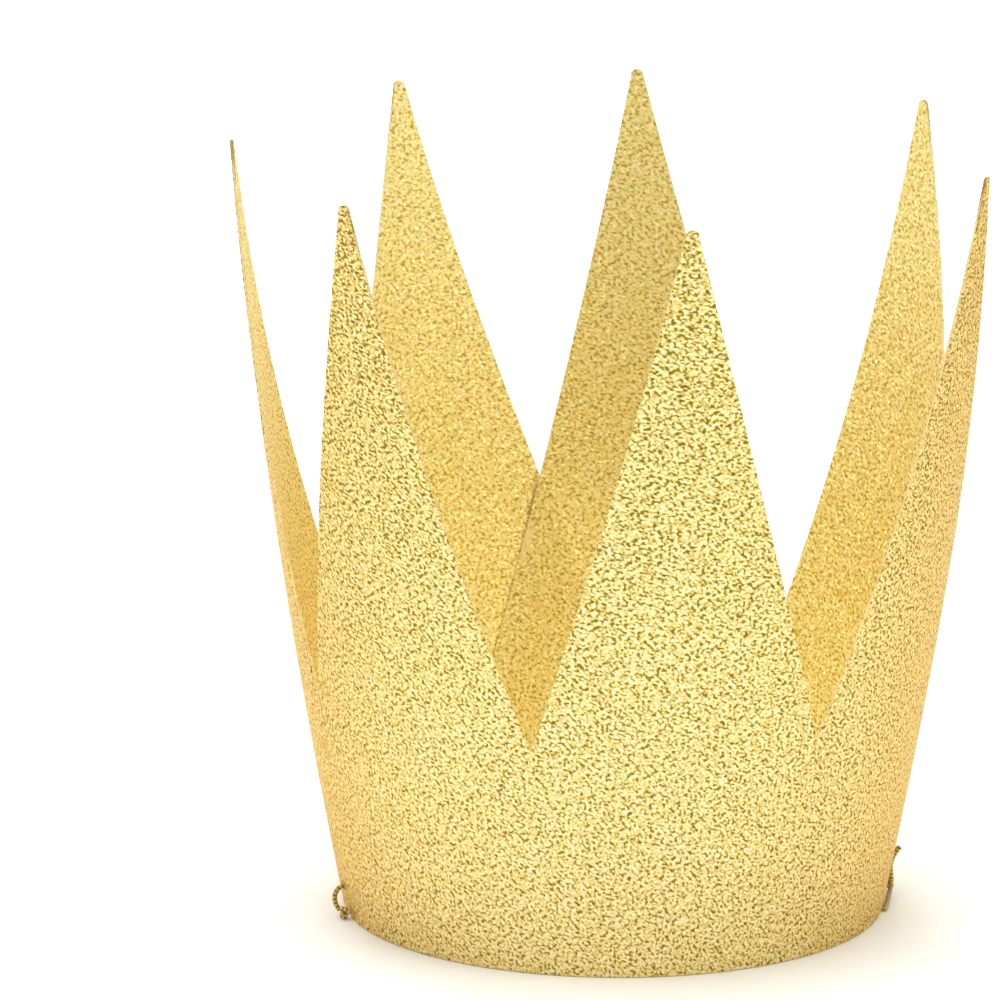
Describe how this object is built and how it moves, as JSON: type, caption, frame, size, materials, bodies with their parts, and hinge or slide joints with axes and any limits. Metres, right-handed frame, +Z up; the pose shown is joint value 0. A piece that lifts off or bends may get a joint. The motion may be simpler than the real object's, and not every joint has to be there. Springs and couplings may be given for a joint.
{
  "type": "party crown",
  "caption": "Small paper party crown: flared ring of gold glitter card with tall pointed spikes, a taped back seam and a gold elastic chin cord tied at both sides.",
  "frame": {"origin": "middle of the box round the card, at the rim the crown stands on", "axes": "+Z up through the ring, -Y towards the front point, +Y towards the taped seam"},
  "size_m": [0.1336, 0.1374, 0.1426],
  "materials": {
    "card_core": "stiff card, gold-tinted cut edge",
    "outer_glitter": "dense gold glitter flakes, high sparkle",
    "inner_glitter": "gold glitter flakes, softer and more orange",
    "seam_tape": "clear-cream double-sided tape",
    "gold_elastic": "metallic gold braid over rubber"
  },
  "bodies": {
    "band": {"band_card": "card_core", "band_outer_glitter": "outer_glitter", "band_inner_glitter": "inner_glitter", "seam_tape": "seam_tape", "chin_elastic": "gold_elastic", "left_tie_loop": "gold_elastic", "left_tie_knot": "gold_elastic", "right_tie_loop": "gold_elastic", "right_tie_knot": "gold_elastic", "right_tie_tail": "gold_elastic"},
    "point_back_left": {"point_back_left_card": "card_core", "point_back_left_outer_glitter": "outer_glitter", "point_back_left_inner_glitter": "inner_glitter"},
    "point_left": {"point_left_card": "card_core", "point_left_outer_glitter": "outer_glitter", "point_left_inner_glitter": "inner_glitter"},
    "point_front_left": {"point_front_left_card": "card_core", "point_front_left_outer_glitter": "outer_glitter", "point_front_left_inner_glitter": "inner_glitter"},
    "point_front": {"point_front_card": "card_core", "point_front_outer_glitter": "outer_glitter", "point_front_inner_glitter": "inner_glitter"},
    "point_front_right": {"point_front_right_card": "card_core", "point_front_right_outer_glitter": "outer_glitter", "point_front_right_inner_glitter": "inner_glitter"},
    "point_right": {"point_right_card": "card_core", "point_right_outer_glitter": "outer_glitter", "point_right_inner_glitter": "inner_glitter"},
    "point_back_right": {"point_back_right_card": "card_core", "point_back_right_outer_glitter": "outer_glitter", "point_back_right_inner_glitter": "inner_glitter"}
  },
  "joints": [
    {"name": "back_left_point_flex", "type": "hinge", "parent": "band", "child": "point_back_left", "pos_m": [-0.0202, 0.05992, 0.0745], "axis": [-0.9362, -0.3514, 0], "range_deg": [-20, 20], "stiffness_Nm_per_rad": 0.02},
    {"name": "left_point_flex", "type": "hinge", "parent": "band", "child": "point_left", "pos_m": [-0.05688, 0.01987, 0.0745], "axis": [-0.2837, -0.9589, 0], "range_deg": [-20, 20], "stiffness_Nm_per_rad": 0.02},
    {"name": "front_left_point_flex", "type": "hinge", "parent": "band", "child": "point_front_left", "pos_m": [-0.04806, -0.03298, 0.0745], "axis": [0.5855, -0.8107, 0], "range_deg": [-20, 20], "stiffness_Nm_per_rad": 0.02},
    {"name": "front_point_flex", "type": "hinge", "parent": "band", "child": "point_front", "pos_m": [0.00082, -0.05876, 0.0745], "axis": [1, -0.0076, 0], "range_deg": [-20, 20], "stiffness_Nm_per_rad": 0.02},
    {"name": "front_right_point_flex", "type": "hinge", "parent": "band", "child": "point_front_right", "pos_m": [0.05152, -0.03271, 0.0745], "axis": [0.5758, 0.8176, 0], "range_deg": [-20, 20], "stiffness_Nm_per_rad": 0.02},
    {"name": "right_point_flex", "type": "hinge", "parent": "band", "child": "point_right", "pos_m": [0.05909, 0.02289, 0.0745], "axis": [-0.3303, 0.9439, 0], "range_deg": [-20, 20], "stiffness_Nm_per_rad": 0.02},
    {"name": "back_right_point_flex", "type": "hinge", "parent": "band", "child": "point_back_right", "pos_m": [0.02004, 0.06022, 0.0745], "axis": [-0.9508, 0.3098, 0], "range_deg": [-20, 20], "stiffness_Nm_per_rad": 0.02}
  ]
}
